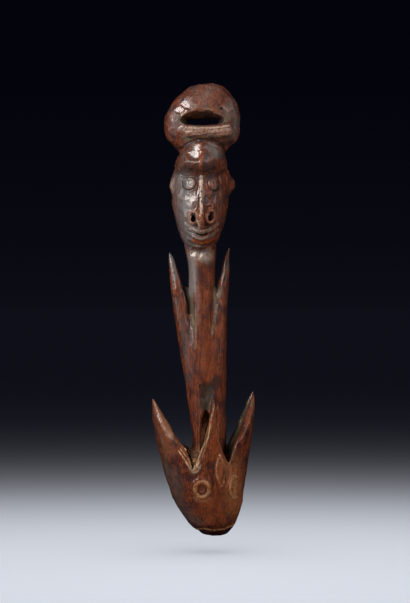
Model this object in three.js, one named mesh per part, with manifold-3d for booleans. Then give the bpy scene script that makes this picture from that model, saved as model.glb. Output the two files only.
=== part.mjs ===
// A suspension hook of the Sepik river kind, carved from one billet of hardwood.
// From the top down: a thick loop pierced by a slot for the cord, a cap with a heavy brow, a long face,
// a neck and shaft with a hook on each side, and a crown of four hooks round a cup.
// The cup is itself a head that points down, with ring eyes, a leaf between them and a cut-off muzzle.
// Units are millimetres. +Z is up, the figure faces -Y, and the origin is the middle of the slot.
import * as THREE from "three";
import { LoftGeometry } from "three/addons/geometries/LoftGeometry.js";
import { mergeVertices } from "three/addons/utils/BufferGeometryUtils.js";
import Module from "manifold-3d";

// The loop that the cord holds, and the slot through it, which flares both ways from a narrow throat.
const loopRise = 41.2;
const loopDrop = 31;
const loopWidth = 84;
const loopDepth = 48;
const slotWidth = 54;
const slotRise = 11.2;
const slotFall = 7.6;
const throatWidth = 37;
const throatRise = 2.6;
const throatFall = 7;
const slotLipHeight = 15;

// The cap and the face under it.
const capHeight = 30;
const capWidth = 58;
const capFront = 37;
const browSag = 7;
const faceHeight = 81;
const faceWidth = 64;
const faceFront = 33;
const headBack = 29;
const chinSag = 8;
const earLength = 25;
const earWidth = 26;
const earDepth = 22;
const earSpread = 36.2;
const earShift = -1.2;
const eyeAngle = 27;
const eyeTurn = 2;
const eyeDrop = 11.5;
const eyeDiameter = 15;
const eyeRise = 1.3;
const noseWidth = 25;
const noseRise = 8;
const mouthWidth = 34;
const lipThickness = 5.8;

// The neck, the shaft and its two hooks.
const neckWidth = 30;
const shaftWidth = 53;
const shaftDepth = 37;
const shaftFootWidth = 37;
const shaftLength = 244;
const yokeDrop = 37;
const yokeHeight = 84;
const yokeDip = 26;
const webDrop = 45;
const webHeight = 92;
const webWidth = 24;
const webSlope = 9;
const webDepth = 23;
const leftHookDrop = 85.5;
const rightHookDrop = 80.5;
const hookSpread = 33;
const hookWidth = 16;
const hookDepth = 17;
const hookLength = 140;

// The cup and the four hooks cut from its rim. The hollow between them ends where the shaft's foot sinks in.
const crownWidth = 115;
const crownDepth = 86;
const crownTurn = 13;
const crownHeight = 159;
const hollowDepth = 83;
const shaftSink = 1.5;
const leftRootRise = 20;
const leftTipDrop = 8;
const rightTipDrop = 0.5;
const frontTipDrop = 7;
const backTipDrop = 5;
const notchSpread = 41;
const leftNotchHeight = 75;
const rightNotchHeight = 81;
const backNotchHeight = 62;
const notchRadius = 3;
const tipThickness = 2.4;
const tipDepth = 5;
const tipTaper = 0.58;
const tipSlant = 60;
const muzzleWidth = 46.5;
const muzzleFlat = 19;
const muzzleTilt = 0.12;
const nicheHeight = 64;
const nicheWidth = 20;
const nicheDepth = 15;
const scoopHeight = 44;
const scoopWidth = 34;
const scoopDepth = 2.6;

// The carving on the cup.
const muzzleTurn = 23;
const ringEyeTurn = 28;
const ringEyeHeight = 56.5;
const ringEyeDiameter = 21;
const ringEyeBead = 4.6;
const leafFoot = 57;
const leafLength = 37;
const leafWidth = 14;
const leafRise = 1.8;

const degree = Math.PI / 180;
const browLevel = -loopDrop - capHeight;
const chinLevel = browLevel - faceHeight;
const shaftFoot = chinLevel - shaftLength;
const hollowFoot = shaftFoot + shaftSink;
const crownTop = hollowFoot + hollowDepth;
const cupFoot = crownTop - crownHeight;

const wood = new THREE.MeshStandardMaterial({ color: 0x6b3a28, roughness: 0.45, metalness: 0 });

const wasm = await Module();
wasm.setup();

// A closed geometry as a solid that can be joined and cut.
function solid(geometry) {
  const bare = new THREE.BufferGeometry();
  bare.setAttribute("position", geometry.getAttribute("position"));
  if (geometry.index) bare.setIndex(geometry.index);
  const merged = mergeVertices(bare, 1e-4);
  return new wasm.Manifold(
    new wasm.Mesh({
      numProp: 3,
      vertProperties: new Float32Array(merged.attributes.position.array),
      triVerts: new Uint32Array(merged.index.array),
    }),
  );
}

function joined(solids) {
  return solids.reduce((whole, piece) => whole.add(piece));
}

// A smooth curve through rows of [place, value, value ...], read at any place.
function curveThrough(rows) {
  const places = rows.map((row) => row[0]);
  const values = rows.flatMap((row) => row.slice(1));
  const curve = new THREE.CubicInterpolant(places, values, rows[0].length - 1);
  return (place) => Array.from(curve.evaluate(place));
}

// A power of a sine or cosine that keeps its sign: below 1 fills the corner out, above 1 makes a keel.
function bent(value, power) {
  return Math.sign(value) * Math.abs(value) ** power;
}

// One point of a level ring. The angle is 0 at the front and grows to the right.
function ringPoint(section, angle, level) {
  const { shift = 0, setBack = 0, half, front, back, keel = 1, box = 1, flat = 1 } = section;
  const { sag = 0, dip = 0, tilt = 0, turn = 0 } = section;
  const forward = Math.cos(angle);
  const reach = (forward > 0 ? front : back) * bent(forward, flat);
  const across = half * bent(Math.sin(angle), forward > 0 ? keel : box);
  const cos = Math.cos(turn * degree);
  const sin = Math.sin(turn * degree);
  return new THREE.Vector3(
    shift + across * cos + reach * sin,
    setBack + across * sin - reach * cos,
    level - sag * Math.max(0, forward) - dip * (1 - Math.abs(across) / half) + tilt * across,
  );
}

function loft(rings) {
  return solid(new LoftGeometry(rings, { capStart: true, capEnd: true }));
}

function ring(around, pointAt) {
  return Array.from({ length: around }, (_, j) => pointAt((j / around) * 2 * Math.PI));
}

// A body lofted from its lowest level to its highest through level rings.
function levelBody(sectionAt, low, high, shares, around) {
  return loft(
    shares.map((share) => {
      const level = low + (high - low) * share;
      const section = sectionAt(share);
      return ring(around, (angle) => ringPoint(section, angle, level));
    }),
  );
}

function evenly(rows) {
  return Array.from({ length: rows + 1 }, (_, i) => i / rows);
}

// A bar that runs from left to right through rows of [x, y, z, half depth, half height].
function crossBar(rows, steps, around) {
  const barAt = curveThrough(rows);
  const left = rows[0][0];
  const right = rows[rows.length - 1][0];
  return loft(
    evenly(steps).map((share) => {
      const x = left + (right - left) * share;
      const [y, z, deep, tall] = barAt(x);
      const pointAt = (angle) => new THREE.Vector3(x, y + deep * Math.cos(angle), z + tall * Math.sin(angle));
      return ring(around, pointAt);
    }),
  );
}

// A rounded lump with three half sizes.
function lump(x, y, z, halfX, halfY, halfZ, around) {
  const geometry = new THREE.SphereGeometry(1, around, Math.round(around / 2));
  geometry.scale(halfX, halfY, halfZ);
  geometry.translate(x, y, z);
  return solid(geometry);
}

// The place and outward direction on a lofted body at a level and an angle.
function seat(sectionAt, low, high, level, angle) {
  const at = (z, turn) => ringPoint(sectionAt((z - low) / (high - low)), turn, z);
  const point = at(level, angle);
  const across = at(level, angle + 0.02).sub(point);
  const up = at(level + 0.5, angle).sub(point);
  return { point, normal: across.cross(up).normalize() };
}

// Sets a geometry whose axis is Z on a seat, sunk by the given depth.
function placed(geometry, { point, normal }, sink = 0) {
  const turn = new THREE.Quaternion().setFromUnitVectors(new THREE.Vector3(0, 0, 1), normal);
  geometry.applyQuaternion(turn);
  geometry.translate(...point.clone().addScaledVector(normal, -sink).toArray());
  return solid(geometry);
}

// The loop: a domed lug that tucks in to the waist above the cap.
function loopBody() {
  const low = -loopDrop - 6;
  const outline = curveThrough([
    [low, -1, 0.58, 0.7],
    [-loopDrop, -1.2, 0.66, 0.74],
    [-loopDrop * 0.8, -0.8, 0.86, 0.84],
    [-loopDrop * 0.55, -0.5, 0.96, 0.95],
    [-loopDrop * 0.2, -1, 1, 1],
    [loopRise * 0.08, -0.5, 1, 1],
    [loopRise * 0.3, 0.8, 0.93, 0.95],
    [loopRise * 0.52, 1.8, 0.83, 0.86],
    [loopRise * 0.73, 3, 0.65, 0.72],
    [loopRise * 0.86, 4, 0.51, 0.6],
    [loopRise * 0.95, 5, 0.36, 0.44],
    [loopRise, 7, 0.12, 0.2],
  ]);
  const shares = evenly(15).map((share) => Math.sin((share * Math.PI) / 2));
  return levelBody(
    (share) => {
      const [shift, wide, deep] = outline(low + (loopRise - low) * share);
      const half = (wide * loopWidth) / 2;
      const reach = (deep * loopDepth) / 2;
      return { shift, half, front: reach, back: reach, keel: 0.88, box: 0.88, flat: 0.9 };
    },
    low,
    loopRise,
    shares,
    28,
  );
}

// The slot: a lens with pointed corners, an arched top and a nearly straight foot.
function slotCut() {
  const stations = curveThrough([
    [-1, -1, slotWidth * 1.2, slotRise * 1.3, slotFall],
    [-0.5, -1, slotWidth, slotRise, slotFall],
    [-0.1, 0, throatWidth, throatRise, throatFall],
    [0.1, 0, throatWidth, throatRise, throatFall],
    [0.5, 0, slotWidth, slotRise, slotFall],
    [1, 0, slotWidth * 1.2, slotRise * 1.3, slotFall],
  ]);
  return loft(
    [1, 0.5, 0.3, 0.1, -0.1, -0.3, -0.5, -1].map((place) => {
      const [shift, wide, rise, fall] = stations(place);
      return ring(18, (angle) => {
        const up = Math.sin(angle);
        const height = up > 0 ? rise * up ** 1.4 : -fall * Math.abs(up) ** 0.8;
        return new THREE.Vector3(shift + (wide / 2) * Math.cos(angle), place * loopDepth, height);
      });
    }),
  );
}

// The worn lip below the slot, which stands out furthest at its right end.
function slotLip() {
  const half = slotWidth / 2;
  const front = -loopDepth / 2;
  const tall = slotLipHeight / 2;
  const level = -slotFall - tall + 1.5;
  return crossBar(
    [
      [-half * 1.05, front + 8, level + 2, 4, tall * 0.5],
      [-half * 0.6, front + 6.5, level, 8, tall],
      [half * 0.3, front + 6, level, 8.5, tall],
      [half * 0.95, front + 7.5, level + 1, 9, tall * 1.05],
      [half * 1.2, front + 10, level + 1.5, 8, tall * 0.9],
    ],
    9,
    12,
  );
}

// The cap: a keeled dome whose lower edge is the brow.
const capAt = curveThrough([
  [0, -2.2, 0.97, 0.76, 0.97],
  [0.1, -2.2, 1, 0.87, 1],
  [0.26, -2, 0.98, 1, 1],
  [0.4, -1.6, 0.93, 1.02, 0.97],
  [0.6, -1.2, 0.84, 0.9, 0.92],
  [0.76, -1, 0.69, 0.72, 0.83],
  [0.89, -0.8, 0.48, 0.55, 0.66],
  [1, -0.5, 0.18, 0.3, 0.4],
]);

function cap() {
  return levelBody(
    (share) => {
      const [shift, wide, deep, rear] = capAt(share);
      const half = (wide * capWidth) / 2;
      const front = deep * capFront;
      const back = rear * headBack;
      const sag = browSag * (1 - share);
      return { shift, half, front, back, keel: 1.08, box: 0.92, flat: 0.85, sag };
    },
    browLevel + browSag,
    -loopDrop + 9,
    [0, 0.07, 0.16, 0.3, 0.45, 0.6, 0.75, 0.88, 1],
    28,
  );
}

// The face: a long keeled wedge that narrows to the chin and ends in an overhanging jaw.
const faceLow = chinLevel + chinSag;
const faceHigh = browLevel + 8;
const faceAt = curveThrough([
  [0, -3.3, 0.6, 0.94, 0.72],
  [0.05, -3.3, 0.64, 1, 0.76],
  [0.12, -3.2, 0.72, 1.04, 0.8],
  [0.3, -2.9, 0.86, 1.06, 0.88],
  [0.5, -3.3, 0.965, 1, 0.96],
  [0.66, -2.9, 0.99, 0.93, 1],
  [0.82, -2.4, 0.97, 0.85, 1],
  [1, -2, 0.9, 0.78, 1],
]);

function faceSection(share) {
  const [shift, wide, deep, rear] = faceAt(share);
  const half = (wide * faceWidth) / 2;
  const front = deep * faceFront;
  const back = rear * headBack;
  const sag = chinSag * Math.max(0, 1 - share * 1.4) ** 2;
  return { shift, half, front, back, keel: 1.2, box: 0.95, flat: 0.94, sag };
}

function face() {
  return levelBody(faceSection, faceLow, faceHigh, evenly(11), 26);
}

// How far forward the face reaches at a place across it.
function faceReach(x, level) {
  const { shift, half, front, keel, flat } = faceSection((level - faceLow) / (faceHigh - faceLow));
  const sine = Math.min(1, Math.abs(x - shift) / half) ** (1 / keel);
  return -front * Math.sqrt(1 - sine * sine) ** flat;
}

// The nose: a sharp ridge that runs out from the brow to a tip hooked over the lip.
const noseShift = -2.4;
const noseTip = browLevel - 0.73 * faceHeight;

function nose() {
  const noseAt = curveThrough([
    [0, 0.26, 0.4],
    [0.07, 0.42, 0.85],
    [0.17, 0.6, 1.1],
    [0.3, 0.62, 0.86],
    [0.45, 0.56, 0.5],
    [0.7, 0.5, 0.2],
    [1, 0.46, -0.1],
  ]);
  const root = faceFront * 0.27;
  const noseTop = browLevel + 4;
  const faceReachAt = (share) => -faceReach(noseShift, noseTip + (noseTop - noseTip) * share);
  return levelBody(
    (share) => {
      const [wide, rise] = noseAt(share);
      const half = (wide * noseWidth) / 2;
      const front = root + rise * noseRise;
      return { shift: noseShift, setBack: root - faceReachAt(share), half, front, back: root / 2, keel: 1.6 };
    },
    noseTip,
    noseTop,
    evenly(10),
    12,
  );
}

function nostril(side) {
  const x = noseShift + 0.6 + side * noseWidth * 0.35;
  const z = noseTip + 9.5;
  const y = faceReach(x, z);
  const boss = lump(x, y - 1, z, noseWidth * 0.23, noseRise * 0.75, 8, 10);
  const bore = lump(x + side * 0.6, y - noseRise, z, noseWidth * 0.12, noseRise * 1.1, 4.8, 8);
  return { boss, bore };
}

// A lip: a bar bent into a shallow V that follows the face.
function lip(level, halfWidth, bend, thickness) {
  const rows = [
    [-1, 0.35],
    [-0.55, 0.95],
    [0, 1],
    [0.55, 0.95],
    [1, 0.35],
  ].map(([place, share]) => {
    const x = noseShift + place * halfWidth;
    const z = level + bend * Math.abs(place) ** 1.3;
    const half = (share * thickness) / 2;
    return [x, faceReach(x, z) - 0.2, z, half * 1.2, half];
  });
  return crossBar(rows, 10, 8);
}

function eye(side) {
  const thickness = 6;
  const disc = new THREE.CylinderGeometry(eyeDiameter / 2, eyeDiameter / 2, thickness, 16);
  disc.rotateX(Math.PI / 2);
  const turn = (side * eyeAngle + eyeTurn) * degree;
  const spot = seat(faceSection, faceLow, faceHigh, browLevel - eyeDrop, turn);
  return placed(disc, spot, thickness / 2 - eyeRise);
}

function ear(side) {
  const x = earShift + side * (earSpread - earWidth / 2);
  return lump(x, 1, browLevel - eyeDrop, earWidth / 2, earDepth / 2, earLength / 2, 14);
}

// The neck and shaft: it leans to the right as it goes down and is widest where the hooks spring.
function shaft() {
  const narrow = shaftFootWidth / 2;
  const neck = neckWidth / 2;
  const sectionAt = curveThrough([
    [0, 8, narrow - 0.6, 0.46],
    [0.14, 7, narrow + 0.2, 0.46],
    [0.22, 5.3, narrow + 1.4, 0.47],
    [0.28, 4, shaftWidth * 0.4, 0.48],
    [0.35, 3.1, shaftWidth * 0.43, 0.49],
    [0.42, 2, shaftWidth * 0.457, 0.5],
    [0.49, 0.6, shaftWidth * 0.44, 0.5],
    [0.56, 0, neck * 1.15, 0.5],
    [0.63, -0.5, neck * 0.95, 0.49],
    [0.71, -1.2, neck * 0.93, 0.47],
    [0.78, -1.3, neck * 0.98, 0.45],
    [0.85, -1.3, neck, 0.44],
    [0.9, -2.2, neck * 1.12, 0.46],
    [0.935, -3.4, neck * 1.2, 0.48],
    [1, -3.4, neck * 1.1, 0.4],
  ]);
  return levelBody(
    (share) => {
      const [shift, half, deep] = sectionAt(share);
      const reach = deep * shaftDepth;
      return { shift, half, front: reach, back: reach, keel: 0.84, box: 0.84, flat: 0.84 };
    },
    shaftFoot,
    chinLevel + 20,
    evenly(22),
    20,
  );
}

// The web that joins each side hook to the shaft: it starts at the back and slopes down to the front.
function yoke() {
  const sectionAt = curveThrough([
    [0, 0, 0, 0.475, 0.42],
    [0.3, -0.8, 1, 0.49, 0.39],
    [0.6, -2, 4.5, 0.47, 0.28],
    [1, -3, 9.5, 0.42, 0.1],
  ]);
  return levelBody(
    (share) => {
      const [shift, setBack, wide, deep] = sectionAt(share);
      const reach = deep * shaftDepth;
      const dip = yokeDip * share;
      return { shift, setBack, half: wide * shaftWidth, front: reach, back: reach, keel: 0.7, box: 0.8, dip };
    },
    chinLevel - yokeDrop - yokeHeight,
    chinLevel - yokeDrop,
    evenly(7),
    16,
  );
}

// The web between the shaft and the right hook: it fills the fork between them and slopes down to the front.
function rightWeb() {
  const half = webWidth / 2;
  return levelBody(
    (share) => {
      const reach = (webDepth / 2) * (1 - 0.3 * share);
      const sag = webSlope * share;
      return { shift: 14.5 - share, half: half * (1 - 0.2 * share), front: reach, back: reach, sag };
    },
    chinLevel - webDrop - webHeight,
    chinLevel - webDrop,
    evenly(5),
    16,
  );
}

// A hook on the side of the shaft, from its root inside the shaft to its tip.
function sideHook(side, drop, rows) {
  const sectionAt = curveThrough(rows);
  return levelBody(
    (share) => {
      const [out, wide, deep] = sectionAt(share);
      const shift = side * out * hookSpread;
      const half = (wide * hookWidth) / 2;
      const reach = (deep * hookDepth) / 2;
      return { shift, half, front: reach, back: reach, keel: 0.8, box: 0.8, flat: 0.9 };
    },
    browLevel - drop - hookLength,
    browLevel - drop,
    [0, 0.15, 0.3, 0.4, 0.5, 0.6, 0.7, 0.8, 0.88, 0.94, 0.97, 1],
    12,
  );
}

function leftHook() {
  return sideHook(-1, leftHookDrop, [
    [0, 0.26, 1.55, 1.7],
    [0.24, 0.455, 1.46, 1.7],
    [0.4, 0.61, 1.24, 1.5],
    [0.51, 0.72, 1.08, 1.3],
    [0.63, 0.81, 0.98, 1.1],
    [0.71, 0.87, 0.92, 0.98],
    [0.84, 0.975, 0.64, 0.72],
    [0.9, 1.02, 0.52, 0.58],
    [0.94, 1.055, 0.42, 0.45],
    [0.97, 1.09, 0.3, 0.3],
    [1, 1.13, 0.1, 0.12],
  ]);
}

function rightHook() {
  return sideHook(1, rightHookDrop, [
    [0, 0.4, 1.45, 1.7],
    [0.24, 0.49, 1.3, 1.7],
    [0.45, 0.55, 1.06, 1.4],
    [0.63, 0.61, 0.98, 1.15],
    [0.7, 0.67, 0.84, 1],
    [0.75, 0.71, 0.68, 0.85],
    [0.81, 0.75, 0.58, 0.72],
    [0.87, 0.775, 0.42, 0.56],
    [0.94, 0.8, 0.31, 0.4],
    [0.97, 0.84, 0.2, 0.25],
    [1, 0.88, 0.1, 0.12],
  ]);
}

// The pointed niche in the shaft behind the front hook.
const nicheFoot = hollowFoot + 0.5;

function niche() {
  const sectionAt = curveThrough([
    [0, 1, 1],
    [0.5, 0.96, 1],
    [0.75, 0.78, 0.95],
    [0.9, 0.48, 0.75],
    [1, 0.12, 0.1],
  ]);
  return levelBody(
    (share) => {
      const [wide, deep] = sectionAt(share);
      const shift = 6.5 - 3.5 * share;
      const half = (wide * nicheWidth) / 2;
      return { shift, setBack: -shaftDepth / 2 - 6, half, front: 6, back: 6 + deep * nicheDepth };
    },
    nicheFoot,
    nicheFoot + nicheHeight,
    [0, 0.35, 0.6, 0.75, 0.85, 0.93, 1],
    12,
  );
}

// The shallow scoop that runs up the shaft from the niche.
function scoop() {
  const radius = scoopWidth / 2;
  const level = nicheFoot + nicheHeight + scoopHeight * 0.35;
  return lump(3.6, -shaftDepth / 2 - radius + scoopDepth, level, radius, radius, scoopHeight, 14);
}

// The cup by share of its height: centre, half width as a share of the crown's width, share of its depth.
const cupAt = curveThrough([
  [0, 14, muzzleFlat / 2 / crownWidth, 0.2],
  [0.02, 13.7, (muzzleWidth * 0.345) / crownWidth, 0.31],
  [0.045, 14.2, (muzzleWidth * 0.417) / crownWidth, 0.39],
  [0.058, 13.8, (muzzleWidth * 0.445) / crownWidth, 0.41],
  [0.066, 13.4, (muzzleWidth * 0.5) / crownWidth, 0.46],
  [0.078, 12.4, (muzzleWidth * 0.53) / crownWidth, 0.49],
  [0.104, 10.4, 0.24, 0.54],
  [0.16, 8.2, 0.287, 0.61],
  [0.216, 6.7, 0.322, 0.67],
  [0.3, 4.7, 0.358, 0.75],
  [0.43, 2.8, 0.398, 0.84],
  [0.54, 1.7, 0.43, 0.9],
  [0.63, 1.2, 0.457, 0.94],
  [0.77, 0.6, 0.488, 0.98],
  [0.9, 0.4, 0.5, 1],
  [1.02, 0.3, 0.505, 1.02],
]);

function cupSection(share) {
  const [shift, wide, deep] = cupAt(share);
  const half = wide * crownWidth;
  const reach = (deep * crownDepth) / 2;
  const tilt = muzzleTilt * Math.sin(Math.PI * Math.min(1, share * 7));
  return { shift, half, front: reach, back: reach, keel: 0.97, box: 0.97, turn: crownTurn, tilt };
}

function cupBody() {
  const shares = [0, 0.02, 0.045, 0.058, 0.066, 0.078, 0.1];
  for (let share = 0.16; share < 1.01; share += 0.06) shares.push(share);
  return levelBody(cupSection, cupFoot, crownTop, shares, 30);
}

// The hollow between the shaft and the hooks, which closes on the shaft at the foot of the hooks.
function cupHollow() {
  const foot = 1 - hollowDepth / crownHeight;
  const start = shaftFootWidth / 2 - 3;
  return levelBody(
    (share) => {
      const outer = cupSection(foot + (1.02 - foot) * share);
      const grown = (size) => start + (size - tipThickness - start) * share ** 0.75;
      return { ...outer, half: grown(outer.half), front: grown(outer.front), back: grown(outer.back) };
    },
    hollowFoot,
    cupFoot + crownHeight * 1.02,
    evenly(7),
    24,
  );
}

// The inner edge of a side hook from its tip down: share of the crown's half width and of the notch's height.
const sideEdge = [
  [1.005, 1],
  [0.96, 0.95],
  [0.89, 0.86],
  [0.83, 0.74],
  [0.75, 0.63],
  [0.685, 0.51],
  [0.6, 0.4],
  [0.5, 0.31],
  [0.43, 0.17],
];

// One notch between a side hook and the front or back hook, cut straight in along the turned axis.
// It leans outwards towards its foot, so that the side hook grows thicker from its tip down.
const notchStart = 0.8;
const notchLean = 0.1;
const crownShift = 1.8;

function notch(side, facing, sideTipDrop, mainTipDrop, height) {
  const foot = cupFoot + height;
  const half = (notchSpread / 2) * (facing > 0 ? 1 : 0.8);
  const rise = crownTop - mainTipDrop - foot;
  const sideRise = crownTop - sideTipDrop - foot;
  const reach = crownWidth / 2;
  const outline = [
    [half, foot],
    [half - notchRadius, foot + notchRadius * 0.8],
    [half * 0.64, foot + 0.14 * rise],
    [half * 0.4, foot + 0.32 * rise],
    [half * 0.21, foot + 0.56 * rise],
    [half * 0.1, foot + 0.84 * rise],
    [0.9, foot + rise],
    [0.9, crownTop + 30],
    [reach * 1.3, crownTop + 30],
    [reach * 1.3, crownTop - sideTipDrop + 20],
    ...sideEdge.map(([out, up]) => [reach * out, foot + sideRise * up]),
  ];
  const shape = new THREE.Shape(outline.map(([x, z]) => new THREE.Vector2(side * x, z)));
  const cut = new THREE.ExtrudeGeometry(shape, { depth: crownDepth, bevelEnabled: false });
  cut.rotateX(Math.PI / 2);
  const place = cut.attributes.position;
  for (let i = 0; i < place.count; i++) {
    place.setY(i, place.getY(i) - notchStart - notchLean * (crownTop - place.getZ(i)));
  }
  cut.rotateZ((facing > 0 ? crownTurn : crownTurn + 180) * degree);
  cut.translate(crownShift, 0, 0);
  return solid(cut);
}

// Trims the tip of the front or back hook to its level with a block set over it.
function tipTrim(forward, drop) {
  const block = new THREE.BoxGeometry(36, 36, 40);
  block.translate(0, -forward, crownTop - drop + 20);
  block.rotateZ(crownTurn * degree);
  return solid(block);
}

// Cuts a side hook's inner edge to a slope that climbs straight to its tip.
function tipSlope(side, drop) {
  const thickness = crownWidth / 2;
  const block = new THREE.BoxGeometry(crownWidth, 36, thickness);
  block.translate(0, 0, thickness / 2);
  block.rotateY(-side * tipSlant * degree);
  block.translate(side * (crownWidth / 2 - tipThickness / 2), 0, crownTop - drop);
  block.rotateZ(crownTurn * degree);
  return solid(block);
}

// Narrows a side hook's depth towards its tip, on its front (facing 1) or its back (facing -1).
function tipTaperCut(side, facing, drop) {
  const tip = crownTop - drop;
  const reach = crownDepth * 0.7;
  const foot = tip - (reach - tipDepth / 2) / tipTaper;
  const outline = [
    [tipDepth / 2, tip + 30],
    [tipDepth / 2, tip],
    [reach, foot],
    [reach, tip + 30],
  ];
  const shape = new THREE.Shape(outline.map(([x, z]) => new THREE.Vector2(facing * x, z)));
  const cut = new THREE.ExtrudeGeometry(shape, { depth: crownWidth * 0.5, bevelEnabled: false });
  cut.rotateX(Math.PI / 2);
  cut.rotateZ(-Math.PI / 2);
  cut.translate(side > 0 ? crownWidth * 0.7 : -crownWidth * 0.2, 0, 0);
  cut.rotateZ(crownTurn * degree);
  return solid(cut);
}

function crown() {
  const cuts = [
    cupHollow(),
    notch(-1, 1, leftTipDrop, frontTipDrop, leftNotchHeight),
    notch(1, 1, rightTipDrop, frontTipDrop, rightNotchHeight),
    notch(-1, -1, rightTipDrop, backTipDrop, backNotchHeight),
    notch(1, -1, leftTipDrop, backTipDrop, backNotchHeight),
    tipTrim(crownDepth / 2, frontTipDrop),
    tipTrim(-crownDepth / 2, backTipDrop),
    tipSlope(-1, leftTipDrop),
    tipSlope(1, rightTipDrop),
    tipTaperCut(-1, 1, leftTipDrop),
    tipTaperCut(-1, -1, leftTipDrop),
    tipTaperCut(1, 1, rightTipDrop),
    tipTaperCut(1, -1, rightTipDrop),
  ];
  return cuts.reduce((whole, cut) => whole.subtract(cut), cupBody());
}

// The root of the left lower hook, which stays joined to the shaft above the hollow's floor.
function leftRoot() {
  const top = hollowFoot + leftRootRise;
  const tall = leftRootRise * 0.65;
  return crossBar(
    [
      [-crownWidth * 0.33, 0, top + 8 - tall, 9, tall],
      [-crownWidth * 0.23, 0, top + 6.6 - tall, 9.5, tall],
      [-shaftFootWidth * 0.35, 0, top - tall, 10, tall],
      [-shaftFootWidth * 0.1, 0, top - 3 - tall, 9, tall],
    ],
    5,
    12,
  );
}

function cupSeat(height, turn) {
  return seat(cupSection, cupFoot, crownTop, cupFoot + height, (turn - crownTurn) * degree);
}

// A ring eye: a raised bead round a sunk disc.
function ringEye(cup, turn) {
  const spot = cupSeat(ringEyeHeight, turn);
  const beadRadius = ringEyeBead / 2;
  const pitRadius = ringEyeDiameter / 2 - ringEyeBead;
  const bead = new THREE.TorusGeometry(ringEyeDiameter / 2 - beadRadius, beadRadius, 6, 18);
  const pit = new THREE.CylinderGeometry(pitRadius, pitRadius, 8, 18);
  pit.rotateX(Math.PI / 2);
  return cup.add(placed(bead, spot, 0.4)).subtract(placed(pit, spot, -3.4));
}

// The leaf between the eyes: a long keeled lozenge.
function leaf() {
  const rows = evenly(8).map((share) => {
    const height = leafFoot + leafLength * share;
    const { point, normal } = cupSeat(height, muzzleTurn);
    const across = new THREE.Vector3(-normal.y, normal.x, 0).normalize();
    const half = (leafWidth / 2) * Math.max(0.06, Math.sin(Math.PI * share ** 0.85)) ** 0.8;
    const rise = leafRise * Math.min(1, (half / leafWidth) * 3);
    return [
      point.clone().addScaledVector(across, -half).addScaledVector(normal, -0.3),
      point.clone().addScaledVector(normal, rise),
      point.clone().addScaledVector(across, half).addScaledVector(normal, -0.3),
      point.clone().addScaledVector(normal, -6),
    ];
  });
  return loft(rows);
}

function head() {
  let whole = joined([loopBody(), slotLip(), cap(), face(), nose()]);
  for (const side of [-1, 1]) {
    whole = joined([whole, eye(side), ear(side), nostril(side).boss]);
  }
  whole = whole.add(lip(noseTip - 4.6, mouthWidth / 2, 7.5, lipThickness));
  whole = whole.add(lip(noseTip - 12.4, mouthWidth * 0.48, 9.5, lipThickness * 1.15));
  for (const side of [-1, 1]) whole = whole.subtract(nostril(side).bore);
  return whole.subtract(slotCut());
}

const branches = joined([shaft(), yoke(), rightWeb(), leftHook(), rightHook()]);
const stem = branches.subtract(niche()).subtract(scoop()).add(leftRoot());
let cup = crown();
for (const side of [-1, 1]) cup = ringEye(cup, muzzleTurn + side * ringEyeTurn);
const figure = joined([head(), stem, cup, leaf()]);

const mesh = figure.getMesh();
const finished = new THREE.BufferGeometry();
finished.setAttribute("position", new THREE.BufferAttribute(mesh.vertProperties, 3));
finished.setIndex(new THREE.BufferAttribute(mesh.triVerts, 1));
finished.computeVertexNormals();
const hookFigure = new THREE.Mesh(finished, wood);
hookFigure.name = "hook_figure";

const group = new THREE.Group();
group.add(hookFigure);
export default group;
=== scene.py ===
import math

import bmesh
import bpy
import numpy as np
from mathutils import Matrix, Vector
from mathutils.bvhtree import BVHTree
from mathutils.kdtree import KDTree


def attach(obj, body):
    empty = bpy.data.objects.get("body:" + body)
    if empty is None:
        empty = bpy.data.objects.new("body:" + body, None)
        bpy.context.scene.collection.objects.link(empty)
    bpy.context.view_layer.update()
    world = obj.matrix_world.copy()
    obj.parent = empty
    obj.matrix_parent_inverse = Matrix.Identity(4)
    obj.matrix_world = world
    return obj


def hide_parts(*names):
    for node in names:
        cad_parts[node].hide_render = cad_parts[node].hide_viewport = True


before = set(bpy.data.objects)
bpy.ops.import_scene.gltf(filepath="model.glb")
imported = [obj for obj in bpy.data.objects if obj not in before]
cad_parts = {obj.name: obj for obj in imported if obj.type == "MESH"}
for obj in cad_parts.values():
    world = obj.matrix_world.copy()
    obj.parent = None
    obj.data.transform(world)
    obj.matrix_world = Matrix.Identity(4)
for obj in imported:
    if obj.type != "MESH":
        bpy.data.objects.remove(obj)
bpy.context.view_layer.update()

# A suspension hook carved from one piece of hardwood, hanging over a pale floor.
# The imported solid keeps its form: a fine copy of it gets the knife work, the small carving, patina and
# painted light.
# Places on the figure are in mm from the middle of the cord's slot, and (x, z) is as seen from the front.

millimetre = 0.001


# The fine copy of the solid
billet = {
    "grid": 0.8,          # mm between the points of the even mesh that is carved
    "triangles": 188000,  # what the finished figure may have
    "steps": 5,           # rounds that take out the steps of the grid
    "crispAngle": 40,     # degrees: an edge of the solid that is sharper than this stays an edge
    "crispReach": 2.4,    # mm beside such an edge that settle less
    "crispHold": 0.94,    # share of the settling that the edge itself is spared
    "settling": 60,       # rounds that melt the solid's flat faces into one surface
    "melting": 200,       # rounds that melt the small forms
}


def readPlaces(mesh):
    places = np.empty(len(mesh.vertices) * 3)
    mesh.vertices.foreach_get("co", places)
    return places.reshape(-1, 3) / millimetre


def writePlaces(mesh, places):
    mesh.vertices.foreach_set("co", (places * millimetre).ravel())
    mesh.update()


def readNormals(mesh):
    normals = np.empty(len(mesh.vertices) * 3)
    mesh.vertex_normals.foreach_get("vector", normals)
    return normals.reshape(-1, 3)


def readLinks(mesh):
    links = np.empty(len(mesh.edges) * 2, dtype=np.int64)
    mesh.edges.foreach_get("vertices", links)
    return links.reshape(-1, 2)


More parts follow.
